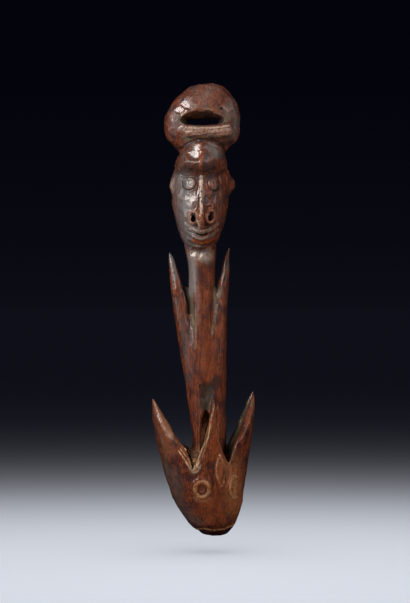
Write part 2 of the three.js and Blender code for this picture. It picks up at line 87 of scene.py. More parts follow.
def applyModifiers(piece):
    shown = piece.evaluated_get(bpy.context.evaluated_depsgraph_get())
    finished = bpy.data.meshes.new_from_object(shown)
    piece.modifiers.clear()
    piece.data = finished


def crispPoints(shape, angle):
    # points along the edges of the solid that are knife edges, about 1 mm apart
    points = []
    for edge in shape.edges:
        if edge.is_manifold and edge.calc_face_angle() > math.radians(angle):
            start = edge.verts[0].co
            run = edge.verts[1].co - start
            steps = max(1, round(run.length / millimetre))
            points += [start + run * (step / steps) for step in range(steps + 1)]
    return points


def nearness(places, points, reach):
    # 1 at the nearest of the points, 0 from reach onwards
    tree = KDTree(len(points))
    for index, point in enumerate(points):
        tree.insert(point, index)
    tree.balance()
    apart = np.array([tree.find(place)[2] for place in places * millimetre]) / millimetre
    return smoothStep(1 - apart / reach)


def smoothStep(value):
    value = np.clip(value, 0, 1)
    return value * value * (3 - 2 * value)


def spread(values, links, share, rounds):
    # each round moves every value its share of the way to the mean of its neighbours
    ends = np.concatenate([links[:, 0], links[:, 1]])
    others = np.concatenate([links[:, 1], links[:, 0]])
    flat = values.reshape(len(values), -1)
    count = np.bincount(ends, minlength=len(flat))[:, None]
    share = np.broadcast_to(np.asarray(share, dtype=float).reshape(-1, 1), (len(flat), 1))
    for _ in range(rounds):
        sums = [np.bincount(ends, weights=column[others], minlength=len(flat)) for column in flat.T]
        flat = flat + (np.stack(sums, axis=1) / count - flat) * share
    return flat.reshape(values.shape)


def fineCopy(node):
    shape = bmesh.new()
    shape.from_mesh(node.data)
    bmesh.ops.remove_doubles(shape, verts=shape.verts, dist=0.001 * millimetre)
    edges = crispPoints(shape, billet["crispAngle"])
    mesh = bpy.data.meshes.new("carved_figure")
    shape.to_mesh(mesh)
    shape.free()
    piece = bpy.data.objects.new("carved_figure", mesh)
    bpy.context.collection.objects.link(piece)
    even = piece.modifiers.new("even", "REMESH")
    even.mode = "VOXEL"
    even.voxel_size = billet["grid"] * millimetre
    applyModifiers(piece)
    shape = bmesh.new()
    shape.from_mesh(piece.data)
    allAxes = {"use_axis_x": True, "use_axis_y": True, "use_axis_z": True}
    for _ in range(billet["steps"]):
        for factor in (0.5, -0.52):  # the second pass puts back what the first one shrinks
            bmesh.ops.smooth_vert(shape, verts=shape.verts, factor=factor, **allAxes)
    shape.to_mesh(piece.data)
    shape.free()
    places = readPlaces(piece.data)
    links = readLinks(piece.data)
    crisp = nearness(places, edges, billet["crispReach"])
    share = 0.5 * (1 - billet["crispHold"] * crisp)
    calm = spread(places, links, share, billet["settling"])
    # and the same once more on what went, which gives the broad forms back their size
    calm = calm + spread(places - calm, links, share, billet["settling"])
    writePlaces(piece.data, calm)
    return piece, crisp


# The knife work: flat cuts that meet in soft ridges, longer where the knife ran along the shaft
knife = {
    "across": 8.5,      # mm, width of one cut
    # the length of a cut by height, as (z, length) in mm
    "along": [(-470, 15), (-330, 17), (-290, 26), (-150, 26), (-130, 11), (45, 11)],
    "bite": 0.85,       # mm, the deepest that a cut departs from the rounded form
    # the share of the bite by height, as (z, share)
    "strength": [(-470, 0.8), (-330, 0.8), (-290, 0.35), (-150, 0.35), (-130, 1), (45, 1)],
    "ridge": 1.1,       # mm, width of the soft ridge between two cuts
    "tilt": 5.5,        # degrees that a cut may lean from the form under it
    "calming": 12,      # rounds that even out the directions that the cuts take from the form
    "tries": 60000,     # points tried as the middle of a cut
    "closest": 0.72,    # square of the least distance between two middles, in cuts
    "sameSide": 0.2,    # cosine between two normals, above which both points are on one side of the wood
    "steepest": 0.45,   # cosine between a cut and the form, under which the cut doesn't reach there
    "seed": 11,
}


def knifeStrength(levels):
    rows = np.array(knife["strength"], dtype=float)
    return np.interp(levels, rows[:, 0], rows[:, 1])


def alongScale(levels):
    # counts cuts along the height, so that a cut is as long as knife["along"] says at its level
    rows = np.array(knife["along"], dtype=float)
    steps = np.linspace(rows[0, 0], rows[-1, 0], 400)
    lengths = np.interp(steps, rows[:, 0], rows[:, 1])
    counted = np.concatenate([[0], np.cumsum((steps[1] - steps[0]) / lengths[1:])])
    return np.interp(levels, steps, counted)


def knifeCuts(places, normals, links, amount):
    chance = np.random.default_rng(knife["seed"])
    laid = np.column_stack([places[:, :2] / knife["across"], alongScale(places[:, 2])])
    taken = {}
    seeds = []
    for index in chance.permutation(len(places))[:knife["tries"]]:
        cell = tuple(np.floor(laid[index]).astype(int))
        close = False
        for dx in (-1, 0, 1):
            for dy in (-1, 0, 1):
                for dz in (-1, 0, 1):
                    for other in taken.get((cell[0] + dx, cell[1] + dy, cell[2] + dz), ()):
                        apart = laid[index] - laid[other]
                        oneSide = normals[index] @ normals[other] > knife["sameSide"]
                        close = close or (oneSide and apart @ apart < knife["closest"])
        if not close:
            taken.setdefault(cell, []).append(index)
            seeds.append(index)
    seeds = np.array(seeds)
    calmNormals = spread(normals, links, 0.5, knife["calming"])
    calmNormals /= np.linalg.norm(calmNormals, axis=1)[:, None]
    lean = chance.normal(size=(len(seeds), 3)) * math.tan(math.radians(knife["tilt"])) / 1.5  # few lean more
    facing = calmNormals[seeds] + lean
    facing /= np.linalg.norm(facing, axis=1)[:, None]
    tree = KDTree(len(seeds))
    for number, index in enumerate(seeds):
        tree.insert(laid[index], number)
    tree.balance()
    found = [tree.find_n(place, 4) for place in laid]  # a point lies under one of the four nearest cuts
    number = np.array([[hit[1] for hit in hits] for hits in found])
    apart = np.array([[hit[2] for hit in hits] for hits in found])
    together = np.einsum("vkc,vc->vk", facing[number], calmNormals)
    outOfReach = 9  # in cuts, and further than any cut that reaches the point
    apart = np.where(together > knife["steepest"], apart, outOfReach)
    level = np.einsum("vkc,vkc->vk", places[seeds][number] - places[:, None, :], facing[number])
    level = level / np.maximum(together, knife["steepest"])
    nearest = apart.min(axis=1)[:, None]
    weight = np.exp(-((apart - nearest) * knife["across"] / knife["ridge"]) ** 2)
    cut = (weight * level).sum(axis=1) / weight.sum(axis=1)
    cut = np.where(nearest[:, 0] == outOfReach, 0, cut)
    cut = knife["bite"] * np.tanh(cut / knife["bite"])
    return places + calmNormals * (cut * amount * knifeStrength(places[:, 2]))[:, None]


# Small forms of the solid that are melted before they are carved again: the middle (x, z) and the reach
# in mm, and how far they melt
melted = {
    "leftEar": {"at": (-31, -72.5), "reach": 16, "melt": 1},
    "rightEar": {"at": (30, -72.5), "reach": 17, "melt": 1},
    "leftEye": {"at": (-15.2, -70.5), "reach": 12, "melt": 0.2},
    "rightEye": {"at": (12, -70.5), "reach": 11, "melt": 0.2},
    "leftMouth": {"at": (-14, -122), "reach": 8, "melt": 0.2},
    "rightMouth": {"at": (11.5, -122), "reach": 8, "melt": 0.2},
    "ringEye": {"at": (-1.1, -407), "reach": 15, "melt": 0.3},
    "sideEye": {"at": (37, -404), "reach": 15, "melt": 0.5},
    "leftHookHigh": {"at": (-47, -324), "reach": 11, "melt": 0.25},
    "leftHookLow": {"at": (-39, -340), "reach": 11, "melt": 0.25},
    "rightHookHigh": {"at": (45, -324), "reach": 11, "melt": 0.25},
    "rightHookLow": {"at": (38, -345), "reach": 11, "melt": 0.2},
    "rightFork": {"at": (16, -193), "reach": 12, "melt": 0.35},
    "leftFork": {"at": (-12, -234), "reach": 15, "melt": 0.2},
    "rightHookEdge": {"at": (23, -172), "reach": 9, "melt": 0.2},
}


def meltForms(places, links):
    share = np.zeros(len(places))
    for spot in melted.values():
        apart = np.hypot(places[:, 0] - spot["at"][0], places[:, 2] - spot["at"][1])
        share = np.maximum(share, 0.5 * spot["melt"] * smoothStep(1.6 * (1 - apart / spot["reach"])))
    return spread(places, links, share, billet["melting"])


# Swellings: the middle (x, y, z), how far they reach along x, y and z, and the move of the middle, in mm
swellings = {
    "leftEar": {"at": (-32, 1, -67), "reach": (13, 18, 19), "move": (-2, 0, 0)},
    "rightEar": {"at": (31, 1, -66), "reach": (13, 18, 19), "move": (3, 0, 0)},
    "notchFloor": {"at": (-10, -20, -379), "reach": (14, 22, 17), "move": (0, -11, 0)},
    "notchSlit": {"at": (-10.5, -15, -376), "reach": (9, 15, 12), "move": (0, -18, 0)},
    "capCrest": {"at": (-7, -20, -29), "reach": (17, 13, 7), "move": (0, -6.5, 0)},
    "leftWeb": {"at": (-19, 2, -198), "reach": (7, 16, 22), "move": (0, -5, 0)},
}


def swell(places):
    for spot in swellings.values():
        apart = np.linalg.norm((places - spot["at"]) / spot["reach"], axis=1)
        places = places + smoothStep(1.05 * (1 - apart))[:, None] * spot["move"]
    return places


# The broad flats of the front: the middle (x, z) of one, its half size across and along and its depth in mm,
# and where it has to catch a light, the direction that it faces
flats = {
    "loopLeft": {"at": (-18, 18), "half": (5, 4.6), "depth": 1.5, "facing": (-0.37, -0.91, 0.18)},
    "loopLeftOuter": {"at": (-26.5, 12), "half": (4.6, 3.8), "depth": 1.3, "facing": (-0.39, -0.9, 0.17)},
    "loopRight": {"at": (27.5, 17.5), "half": (8, 9), "depth": 1.1},
    "loopLowLeft": {"at": (-31, -9), "half": (9, 13), "depth": 1.2},
    "capLeft": {"at": (-9.5, -33), "half": (7, 9), "depth": 4.6, "facing": (-0.37, -0.9, 0.21)},
    "capRight": {"at": (8.5, -33.5), "half": (8, 9), "depth": 1.2},
    "capUnderLeft": {"at": (-14, -50), "half": (11, 8), "depth": 1},
    "capUnderRight": {"at": (11, -50), "half": (10, 8), "depth": 1},
    "cheekLeft": {"at": (-19, -99), "half": (12, 17), "depth": 1},
    "besideNose": {"at": (-12, -91), "half": (5, 9), "depth": 0.7, "facing": (-0.25, -0.965, 0.02)},
    "cheekRight": {"at": (12, -98), "half": (10, 16), "depth": 0.9},
    "neckLeft": {"at": (-7.5, -151), "half": (5.5, 6), "depth": 1.9, "facing": (-0.4, -0.89, 0.23)},
    "neck": {"at": (1, -151), "half": (5.5, 6), "depth": 2.1, "facing": (-0.33, -0.91, 0.25)},
    "noseHigh": {"at": (-3, -69), "half": (1.8, 4), "depth": 0.6, "facing": (-0.38, -0.9, 0.2)},
    "noseMiddle": {"at": (-3, -80), "half": (1.8, 5), "depth": 0.6, "facing": (-0.36, -0.91, 0.2)},
    "noseLow": {"at": (-3, -93), "half": (1.8, 5), "depth": 0.6, "facing": (-0.38, -0.9, 0.21)},
    "cheekbone": {"at": (-22, -87.5), "half": (5, 3.5), "depth": 0.6, "facing": (-0.4, -0.89, 0.2)},
    "leftEye": {"at": (-15.2, -70.5), "half": (7.5, 7.5), "depth": 0.6, "facing": (-0.42, -0.9, 0.04)},
    "rightEye": {"at": (12, -70.5), "half": (6, 7.5), "depth": 0.6, "facing": (0.33, -0.94, 0.04)},
    "panel": {"at": (2, -215), "half": (9, 38), "depth": 0.9},
    "leftFlank": {"at": (-13, -262), "half": (7, 24), "depth": 0.8},
    "notchLeft": {"at": (-22, -364), "half": (10, 6), "depth": 0.8},
}


# How all of the front is worked
frontWork = {
    "cell": 1.6,      # mm between the sight lines that find the nearest wood
    "depth": 12,      # mm behind the nearest wood that still count as bare to the front
    "flatEnd": 1.8,   # half sizes from the middle where a flat has run out
    "flatFade": 0.8,  # half sizes over which it runs out
    "arcStep": 15,    # degrees from point to point of an arc
    "broad": 6,       # mm, the width from which colour fades out softly
}


def bareToFront(places):
    # what has nothing of the figure close before it, as seen from the front
    seen = places[:, [0, 2]]
    cells = np.floor((seen - seen.min(axis=0)) / frontWork["cell"]).astype(int)
    nearest = np.full(cells.max(axis=0) + 1, np.inf)
    np.minimum.at(nearest, (cells[:, 0], cells[:, 1]), places[:, 1])
    return places[:, 1] - nearest[cells[:, 0], cells[:, 1]] < frontWork["depth"]


def facesFront(places, normals):
    # 1 on what the blade meets from the front, 0 on what is turned away from it or hidden
    return bareToFront(places) * smoothStep((-normals[:, 1] - 0.05) / 0.3)


def cutFlats(places, normals):
    front = facesFront(places, normals)
    for flat in flats.values():
        across = (places[:, 0] - flat["at"][0]) / flat["half"][0]
        along = (places[:, 2] - flat["at"][1]) / flat["half"][1]
        apart = np.hypot(across, along)
        near = (apart < frontWork["flatEnd"]) & (front > 0.2)
        facing = np.array(flat.get("facing", normals[near & (apart < 0.8)].mean(axis=0)))
        facing /= np.linalg.norm(facing)
        height = places @ facing
        level = height[near & (apart < 1)].max() - flat["depth"]
        fade = smoothStep((frontWork["flatEnd"] - apart) / frontWork["flatFade"])
        over = np.clip(height - level, 0, None) * near * fade
        places = places - over[:, None] * facing
    return places


def arc(middle, half, start, end):
    # points of an ellipse from one angle to another, in degrees counted from its right end
    steps = max(6, round(abs(end - start) / frontWork["arcStep"]))
    turns = [math.radians(start + (end - start) * step / steps) for step in range(steps + 1)]
    return [(middle[0] + half[0] * math.cos(turn), middle[1] + half[1] * math.sin(turn)) for turn in turns]


# The small carving of the front and what lies in it. A line has a path of (x, z) and a width in mm, a rise
# in mm with the share of its half width that its flank takes, and shares of pale wear with painted highlight,
# of grime with painted shade, of grey ash, of the warm orange that handling brings out or of painted sheen,
# the grey of a soft reflection. A further share keeps off the grime and painted shade that hollows and
# creases get.
lines = {
    "slotLipTop": {"path": [(-20, -8.7), (0, -10), (18, -9), (29, -6.5)], "width": 2.2, "worn": 0.8},
    "slotLipGrain": {"path": [(6, -13.5), (18, -12), (29, -10.5)], "width": 1.8, "rise": -0.5, "worn": 0.5},
    "slotLipLowGrain": {
        "path": [(-13, -15.5), (8, -17), (27, -15.5)],
        "width": 1.8, "rise": -0.5, "worn": 0.2,
    },
    "slotLipEnd": {"path": [(25, -12), (29.5, -15)], "width": 8, "worn": 0.3},
    # painted shade under the lip
    "slotLipFoot": {"path": [(-16, -20), (0, -21.5), (16, -21)], "width": 2.4, "rise": -0.3, "shadeAndDirt": 0.35},
    # painted sheen on the lip
    "slotLip": {"path": [(-18, -15), (28, -15)], "width": 12, "warm": 0.45, "paintedSheen": 0.35, "worn": 0.3},
    "slotCornerLeft": {"path": [(-28, 4), (-23, -3)], "width": 8, "ash": 0.8},
    "slotCornerRight": {"path": [(22, -2), (30, 4)], "width": 8, "ash": 0.8},
    "slotBrow": {"path": [(-20, 6), (0, 11), (18, 8)], "width": 5, "ash": 0.5, "warm": 0.5},
    # painted sheen on top of the loop, over the head and down the loop's sides
    "loopTop": {"path": [(0, 22), (8, 32)], "width": 24, "warm": 0.3, "paintedSheen": 0.35, "worn": 0.12},
    "loopGleam": {"path": [(-17, 19), (-28, 11)], "width": 13, "sparedDarkening": 1},
    "headSheen": {"path": [(0, 30), (0, -60)], "width": 84, "paintedSheen": 0.3},
    "loopSide": {"path": [(-34, -12), (-33, 8)], "width": 16, "paintedSheen": 0.4},
    "loopRight": {"path": [(30, 20), (36, 0), (34, -16)], "width": 16, "paintedSheen": 0.5},
    "loopUnder": {"path": [(-22, -20), (-14, -22)], "width": 8, "ash": 0.7},
    # painted shade in the pit
    "loopPit": {"path": [(20.2, 12.3), (20.6, 12)], "width": 2.6, "rise": -1.2, "shadeAndDirt": 1},
    # painted highlight round the loop's right facet, and painted sheen inside it
    "loopFacet": {"path": arc((28.3, 17), (5, 7), 180, 340), "width": 1.8, "worn": 0.3},
    "loopFacetSheen": {"path": [(27, 20), (29, 14)], "width": 9, "paintedSheen": 0.8},
    "capRidge": {"path": [(-2.2, -28), (-2.4, -60)], "width": 4.4, "rise": 0.4, "warm": 0.9},
    # painted shade in the waist under the loop
    "capWaist": {
        "path": [(-25, -32), (-17, -26.4), (-5, -22.3), (9, -23.5), (21.5, -29), (26, -36)],
        "width": 2.8, "rise": -0.7, "shadeAndDirt": 0.6,
    },
    "waistRight": {"path": [(9, -21.5), (22, -26.5)], "width": 6.5, "shadeAndDirt": 0.7},
    # painted sheen on both sides of the cap
    "capGleam": {"path": [(-10, -27), (-10, -42)], "width": 14, "sparedDarkening": 1},
    "capLeftSheen": {"path": [(-10, -28), (-11, -40)], "width": 13, "paintedSheen": 0.6},
    "capRightSheen": {"path": [(10, -31), (14, -38)], "width": 16, "paintedSheen": 0.9, "worn": 0.1},
    # painted shade under the cap
    "capLow": {"path": [(-20, -53), (-2, -57), (16, -53)], "width": 9, "shadeAndDirt": 0.5},
    "capSide": {"path": [(-21, -36), (-24, -50)], "width": 7, "ash": 0.5},
    "browShade": {
        "path": [(-30, -57), (-21, -63), (-12, -64.6), (-2, -65), (8, -64), (15, -61.5), (25, -56)],
        "width": 4, "rise": -0.3, "shadeAndDirt": 0.5,
    },
    # painted sheen on the left of the face and on the right cheek
    "leftFace": {"path": [(-23, -66), (-21, -100), (-14, -130)], "width": 30, "paintedSheen": 0.8},
    "rightCheek": {"path": [(18, -78), (15, -110)], "width": 20, "paintedSheen": 0.3},
    "temple": {"path": [(-27, -63), (-19, -66)], "width": 8, "ash": 0.8},
    "leftEarEdge": {"path": [(-34, -66), (-34.8, -78)], "width": 4.5, "worn": 0.4},
    # painted sheen on the left eye's disc, and painted shade in the groove under it
    "leftEye": {
        "path": [(-15.2, -70.2), (-15.2, -70.8)],
        "width": 14.4, "rise": 0.7, "flank": 0.35, "paintedSheen": 1,
    },
    "leftEyeEdge": {
        "path": arc((-15.2, -70.5), (8, 8.2), 165, 385),
        "width": 1.8, "rise": -0.5, "shadeAndDirt": 0.75,
    },
    "rightEye": {"path": [(12, -68.8), (12, -72.4)], "width": 12, "rise": 0.7, "flank": 0.4, "warm": 0.2},
    # painted shade in the groove under the right eye
    "rightEyeEdge": {
        "path": arc((12, -70.6), (6.8, 8.6), 130, 330),
        "width": 1.8, "rise": -0.5, "shadeAndDirt": 0.75,
    },
    # painted highlight along the nose ridge and on the cheekbone
    "noseRidge": {
        "path": [(-1.8, -64), (-1.9, -80), (-1.7, -104)],
        "width": 3.4, "rise": 0.5, "worn": 1, "sparedDarkening": 1,
    },
    "leftCheekbone": {
        "path": [(-27, -84.5), (-23, -87.5), (-17, -88.5)],
        "width": 3, "rise": 0.3, "worn": 0.15,
    },
    "leftNostril": {
        "path": arc((-10.8, -109), (4.8, 6.8), 0, 360),
        "width": 3, "rise": 0.8, "warm": 0.9, "worn": 0.3, "sparedDarkening": 1,
    },
    # painted shade in the left nostril's bore
    "leftBore": {"path": [(-11, -105.5), (-9.8, -111.5)], "width": 4.4, "rise": -1, "shadeAndDirt": 1},
    "rightNostril": {
        "path": arc((8.2, -107.5), (4.6, 6.8), 0, 360),
        "width": 3, "rise": 0.8, "warm": 0.9, "worn": 0.15, "sparedDarkening": 1,
    },
    # painted shade in the right nostril's bore
    "rightBore": {"path": [(9.6, -104), (8.8, -110)], "width": 4.2, "rise": -1, "shadeAndDirt": 1},
    "noseTip": {"path": [(-1.6, -107), (-1.5, -118)], "width": 7.5, "rise": 1.3, "warm": 1},
    "noseTipEdge": {"path": [(-5.6, -113), (-3.4, -118.4)], "width": 2, "rise": 0.4, "worn": 0.7},
    "upperLip": {
        "path": [
            (-19.4, -115.8), (-13, -119.6), (-7, -122.8), (-1.4, -124.4),
            (5, -123), (11, -119.6), (16.3, -115.6),
        ],
        "width": 3.4, "rise": 0.6, "ash": 0.5, "worn": 0.15,
    },
    "mouthFloor": {
        "path": [(-16, -121), (-1.4, -128), (12, -121)],
        "width": 3.4, "rise": 0.9, "ash": 0.4, "sparedDarkening": 0.8,
    },
    # painted shade in the mouth's slit
    "mouth": {"path": [(-6.5, -126.4), (-1.4, -128.4), (4, -126.4)], "width": 2, "rise": -1.2, "shadeAndDirt": 1},
    # painted sheen on the lower lip
    "lowerLip": {
        "path": [
            (-20, -122.4), (-14, -127.6), (-7, -131.2), (-1, -132.4),
            (5, -131.2), (11, -127.8), (16.4, -122),
        ],
        "width": 3.4, "rise": 0.6, "ash": 0.3, "paintedSheen": 0.5,
    },
    "chin": {
        "path": [(-11, -133.6), (-6, -135.6), (-1, -136.2), (4, -135.6), (9, -133.4)],
        "width": 4.6, "warm": 1,
    },
    "chinShade": {
        "path": [(-15.5, -134.6), (-8, -138.4), (-1, -139.6), (6, -138.4), (12.5, -134.6)],
        "width": 3, "rise": -0.5, "shadeAndDirt": 0.5,
    },
    # painted highlight and painted sheen on the neck
    "neckFront": {"path": [(-10, -148), (4, -150)], "width": 17, "paintedSheen": 0.75, "worn": 0.4},
    "rightFace": {"path": [(16, -108), (13, -124)], "width": 6, "warm": 0.6},
    "neckShade": {
        "path": [(-16, -141.5), (-8, -144), (-1, -144.6), (6, -144), (13, -141.5)],
        "width": 3, "shadeAndDirt": 0.4,
    },
    # painted sheen down the left of the neck
    "neckLeft": {"path": [(-12, -150), (-13.5, -190)], "width": 14, "paintedSheen": 0.85, "worn": 0.12},
    "panelLeft": {
        "path": [(-8.6, -178), (-8.4, -221), (-7.4, -252)],
        "width": 2, "rise": 0.25, "worn": 0.12,
    },
    "panelRight": {
        "path": [(13, -186), (12.8, -200), (12.4, -222), (10.6, -238)],
        "width": 3, "rise": 0.5, "ash": 0.75, "worn": 0.2,
    },
    "rightValley": {"path": [(14.5, -180), (14.5, -215), (12.5, -245)], "width": 9, "sparedDarkening": 0.9},
    "panelHeart": {"path": [(3, -165), (2.5, -225), (3, -250)], "width": 12, "warm": 0.45},
    "panelSheen": {"path": [(-5.5, -192), (-5, -224)], "width": 7, "paintedSheen": 0.3, "worn": 0.05},
    "leftValley": {"path": [(-12.6, -214), (-11.4, -230)], "width": 3.6, "rise": -0.3, "ash": 0.7},
    "leftValleyFoot": {
        "path": [(-11.4, -230), (-10.4, -240), (-9.2, -252)],
        "width": 2, "rise": -0.3, "ash": 0.5,
    },
    # painted shade on the valley's side
    "leftValleySide": {"path": [(-14.3, -219), (-13.3, -247)], "width": 2.6, "warm": 0.4, "shadeAndDirt": 0.6},
    "leftFlat": {
        "path": [(-15, -182), (-14, -200), (-11.5, -218), (-9.4, -234)],
        "width": 6, "ash": 1, "sparedDarkening": 1,
    },
    "leftFork": {"path": [(-13, -216), (-10.5, -226)], "width": 2.4, "worn": 0.25, "ash": 0.5},
    "rightFork": {"path": [(14, -184), (20, -190), (15.7, -196)], "width": 8, "ash": 0.85},
    # painted sheen on the left hook's tip
    "hookTipLeft": {"path": [(-36.5, -146), (-34, -158), (-31, -176)], "width": 5, "paintedSheen": 0.7},
    "hookEdgeLeft": {"path": [(-33.6, -166), (-30.5, -186)], "width": 1.8, "worn": 0.6},
    "hookTipRight": {"path": [(29.5, -145), (27.5, -165)], "width": 4, "ash": 0.6},
    # painted shade on the right hook's inner side
    "hookInsideRight": {"path": [(28, -150), (19, -186)], "width": 7, "shadeAndDirt": 0.4},
    "orange": {"path": [(6, -240), (5, -280)], "width": 26, "warm": 0.55, "shadeAndDirt": 0.08},
    # painted shade in the scoop
    "scoop": {"path": [(6, -299), (4, -316)], "width": 16, "rise": -0.5, "ash": 0.6, "shadeAndDirt": 0.75},
    # painted sheen on both sides of the shaft
    "shaftLeft": {"path": [(-22, -200), (-16, -290)], "width": 14, "paintedSheen": 0.3},
    "shaftRight": {"path": [(24, -200), (19, -300)], "width": 12, "paintedSheen": 0.15},
    "nicheWall": {
        "path": [(4, -340), (-3, -366)],
        "width": 8, "ash": 0.5, "warm": 0.5, "worn": 0.15, "sparedDarkening": 0.7,
    },
    # pale wear with a painted highlight along the front hook's bevel
    "frontHookBevel": {
        "path": [(13, -312), (8, -333), (5.4, -351), (-1.6, -364), (-5, -374), (-6, -382)],
        "width": 1.5, "rise": 0.3, "worn": 0.75,
    },
    "frontHookFace": {"path": [(14, -330), (14, -370)], "width": 20, "warm": 0.65},
    # painted sheen on the lowest fibre
    "fibreLow": {
        "path": [(-26.4, -365), (-15.8, -381.6)],
        "width": 1.4, "rise": 0.6, "worn": 1, "paintedSheen": 0.5,
    },
    "fibreMid": {"path": [(-24.6, -362.8), (-13, -377.6)], "width": 1.2, "rise": 0.5, "worn": 0.7},
    "fibreHigh": {"path": [(-19.6, -362), (-10, -376)], "width": 1.2, "rise": 0.5, "worn": 0.8},
    "fibreInner": {"path": [(-15.2, -363), (-7.4, -377.4)], "width": 1.1, "rise": 0.4, "worn": 0.65},
    "fibreFloor": {"path": [(-9.5, -374), (-9.8, -386)], "width": 1.2, "rise": 0.5, "worn": 0.9},
    "notchFloor": {"path": [(-9, -370), (-10, -384)], "width": 12, "ash": 0.35, "worn": 0.5, "sparedDarkening": 1},
    "notchFoot": {
        "path": [(-13.5, -381), (-9, -387), (-5, -383)],
        "width": 5, "worn": 0.35, "ash": 0.6, "sparedDarkening": 1,
    },
    # painted sheen on the notch's edge
    "notchEdge": {
        "path": [(-14.6, -384), (-10.4, -389.6), (-5, -387.4), (-2.2, -380.6)],
        "width": 1.8, "rise": 0.5, "worn": 0.3, "paintedSheen": 0.5,
    },
    # painted shade on the right hook's inner side
    "rightHookInside": {
        "path": [(49, -312), (38, -338), (29, -362), (32, -376)],
        "width": 11, "ash": 0.85, "shadeAndDirt": 0.45,
    },
    # painted sheen on the left hook's tip and face
    "leftHookTip": {"path": [(-54, -304), (-50, -314)], "width": 5, "paintedSheen": 0.6, "worn": 0.2},
    "leftHookEdge": {
        "path": [(-52, -310), (-36, -346)],
        "width": 11, "ash": 0.9, "warm": 0.75, "worn": 0.12,
    },
    "leftHookFace": {
        "path": [(-50, -322), (-36, -366)],
        "width": 18, "ash": 0.4, "paintedSheen": 0.3, "warm": 0.6,
    },
    "ringEye": {
        "path": arc((-1, -407.4), (7.8, 8.6), 0, 360),
        "width": 4.2, "rise": 1, "warm": 1, "worn": 0.36, "sparedDarkening": 1,
    },
    "ringDisc": {
        "path": [(-1.4, -406.4), (-1.4, -407.6)],
        "width": 9, "rise": -0.4, "warm": 0.4, "shadeAndDirt": 0.45,
    },
    "ringDiscShade": {
        "path": arc((-1, -407.4), (4.6, 5.4), 200, 380),
        "width": 2.2, "rise": -0.5, "shadeAndDirt": 0.65,
    },
    "ringEyeFoot": {"path": [(-9, -417), (-1, -420), (8, -417.5)], "width": 4, "worn": 0.18, "warm": 0.6},
    "leaf": {"path": [(19.8, -378), (20.4, -396)], "width": 9, "rise": -0.4, "warm": 0.9, "worn": 0.1},
    "leafShade": {"path": [(24, -384), (24.4, -398)], "width": 2, "shadeAndDirt": 0.5},
    "leafLeft": {
        "path": [(18.9, -370), (16.2, -377), (14.6, -384), (15.2, -391), (17.4, -398), (20, -404)],
        "width": 2.6, "rise": 0.7, "warm": 0.9, "worn": 0.28,
    },
    "leafRight": {
        "path": [(18.9, -370), (22.4, -377), (24.6, -386), (24.2, -397), (21, -404)],
        "width": 2.6, "rise": 0.7, "warm": 0.9, "worn": 0.28,
    },
    "leafRidge": {
        "path": [(26.6, -372), (31, -384), (30, -397), (26, -405)],
        "width": 3, "rise": 0.5, "warm": 0.9, "worn": 0.22,
    },
    "sideEye": {
        "path": arc((34.5, -405.6), (4.4, 12.6), 60, 300),
        "width": 2.6, "rise": 0.8, "warm": 1, "worn": 0.45,
    },
    "sideEyeDisc": {"path": [(35, -398), (34.8, -414)], "width": 9, "warm": 1, "worn": 0.35, "sparedDarkening": 1},
    "cupFront": {"path": [(6, -420), (16, -432)], "width": 44, "warm": 0.5},
    "cupRight": {"path": [(32, -380), (36, -430)], "width": 26, "warm": 1, "worn": 0.14},
    # painted shade and painted sheen on the crown's lower left
    "cupLowLeft": {"path": [(-34, -390), (-24, -430), (-8, -446)], "width": 24, "shadeAndDirt": 0.3, "paintedSheen": 0.4},
    "cupLeftEdge": {"path": [(-45, -345), (-39, -400), (-26, -438)], "width": 9, "ash": 0.5},
    "muzzleLip": {
        "path": [(-8, -453.6), (1, -452.2), (12, -454.3), (23.5, -452.8), (34, -448.8)],
        "width": 2, "rise": 0.6, "worn": 0.4, "warm": 0.5,
    },
    # painted shade under the muzzle's lip
    "muzzleFoot": {"path": [(-4, -459), (32, -455)], "width": 8, "shadeAndDirt": 0.8},
}
layers = ("worn", "shadeAndDirt", "ash", "warm", "paintedSheen")


def alongPath(places, path):
    # mm from every place to the path, as seen from the front
    nearest = np.full(len(places), np.inf)
    seen = places[:, [0, 2]]
    for start, end in zip(path, path[1:]):
        run = np.subtract(end, start)
        share = np.clip((seen - start) @ run / (run @ run), 0, 1)
        nearest = np.minimum(nearest, np.linalg.norm(seen - start - share[:, None] * run, axis=1))
    return nearest


def carveLines(places, normals, patinaAndPaintedLight):
    front = facesFront(places, normals)
    painted = bareToFront(places) * smoothStep((0.4 - normals[:, 1]) / 0.5)  # colour runs on round the sides
    rise = np.zeros(len(places))
    for line in lines.values():
        apart = alongPath(places, line["path"]) / (line["width"] / 2)
        flank = line.get("flank", 1)
        rise += line.get("rise", 0) * front * smoothStep((1 + 0.3 * flank - apart) / flank)
        fade = 0.9 if line["width"] < frontWork["broad"] else 1.5
        for layer in patinaAndPaintedLight:
            here = line.get(layer, 0) * painted * smoothStep((1.5 - apart) / fade)
            patinaAndPaintedLight[layer] = np.maximum(patinaAndPaintedLight[layer], here)
    return places + normals * rise[:, None]


# What form brings by itself: edges turn pale with wear, and creases and sheltered hollows get grime and
# painted shade
wearAndShade = {
    "samples": 14000,       # points where the shelter is measured
    "rays": 10,             # that each of them sends out
    "reach": 60,            # mm, how far off something still shelters a point
    "edge": (0.05, 0.3),    # mm that an edge stands out, from no wear to full wear
    "crease": (0.06, 0.4),  # mm that a crease lies in, from none to full grime and painted shade
    "hollow": (0.45, 0.5),  # shelter where grime and painted shade begin, and how much more of it fills a hollow
    "edgeWear": 0.2,        # shares of the worn wood and of the grime and painted shade that form alone brings
    "creaseShadeAndDirt": 0.5,
    "hollowShadeAndDirt": 0.95,
    "formRounds": 8,        # rounds that flatten the form against which an edge or a crease is measured
    "softRounds": 2,        # rounds that soften what was measured there
    "hollowRounds": 12,     # and in the hollows
    "seed": 5,
}


